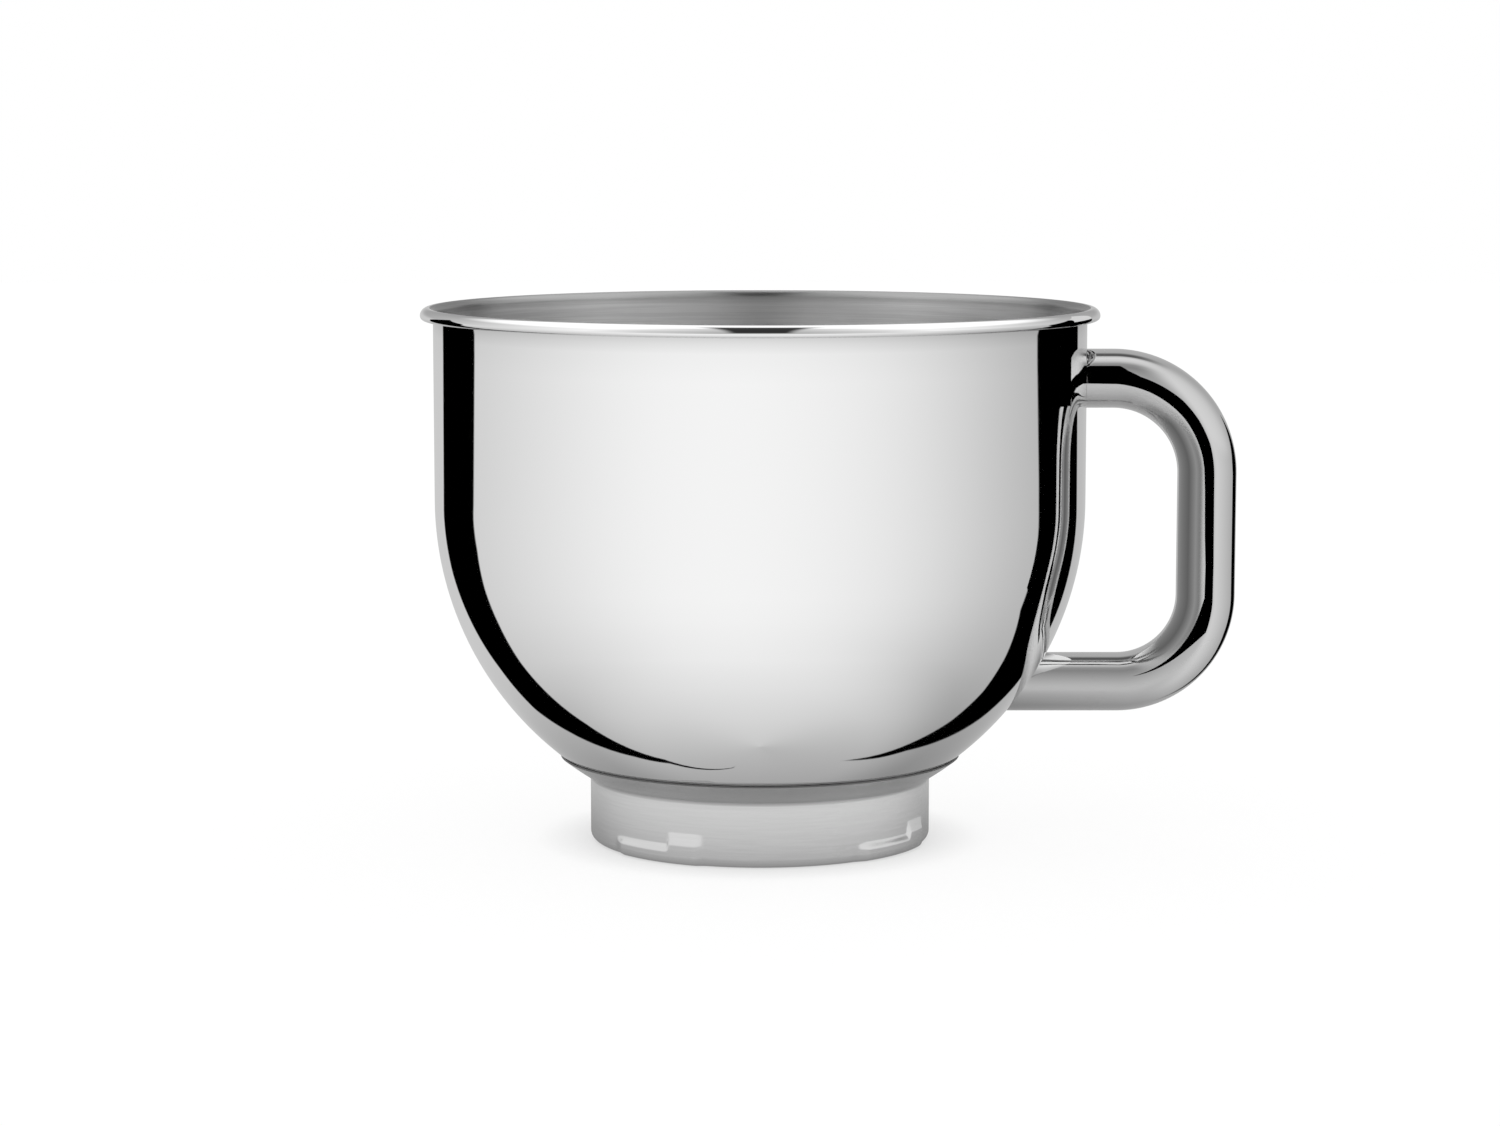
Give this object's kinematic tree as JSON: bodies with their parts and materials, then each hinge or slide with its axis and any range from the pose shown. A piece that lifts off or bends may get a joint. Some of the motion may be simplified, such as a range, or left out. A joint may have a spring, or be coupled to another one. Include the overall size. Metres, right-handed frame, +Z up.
{
  "type": "stand mixer bowl",
  "caption": "Deep round-bottomed steel mixing bowl with a rolled rim, a tube handle on one side and a bayonet foot ring that locks into a stand mixer's base.",
  "frame": {"origin": "on the bowl's axis, at the surface that the foot ring stands on", "axes": "+Z up along the bowl's axis, +X towards the handle"},
  "size_m": [0.2709, 0.2246, 0.178],
  "materials": {
    "polished_steel": "mirror polished outside, brushed round inside",
    "satin_steel": "satin",
    "handle_steel": "mirror polished"
  },
  "bodies": {
    "root": {"bowl": "polished_steel", "base_ring": "satin_steel", "handle": "handle_steel"}
  },
  "joints": []
}
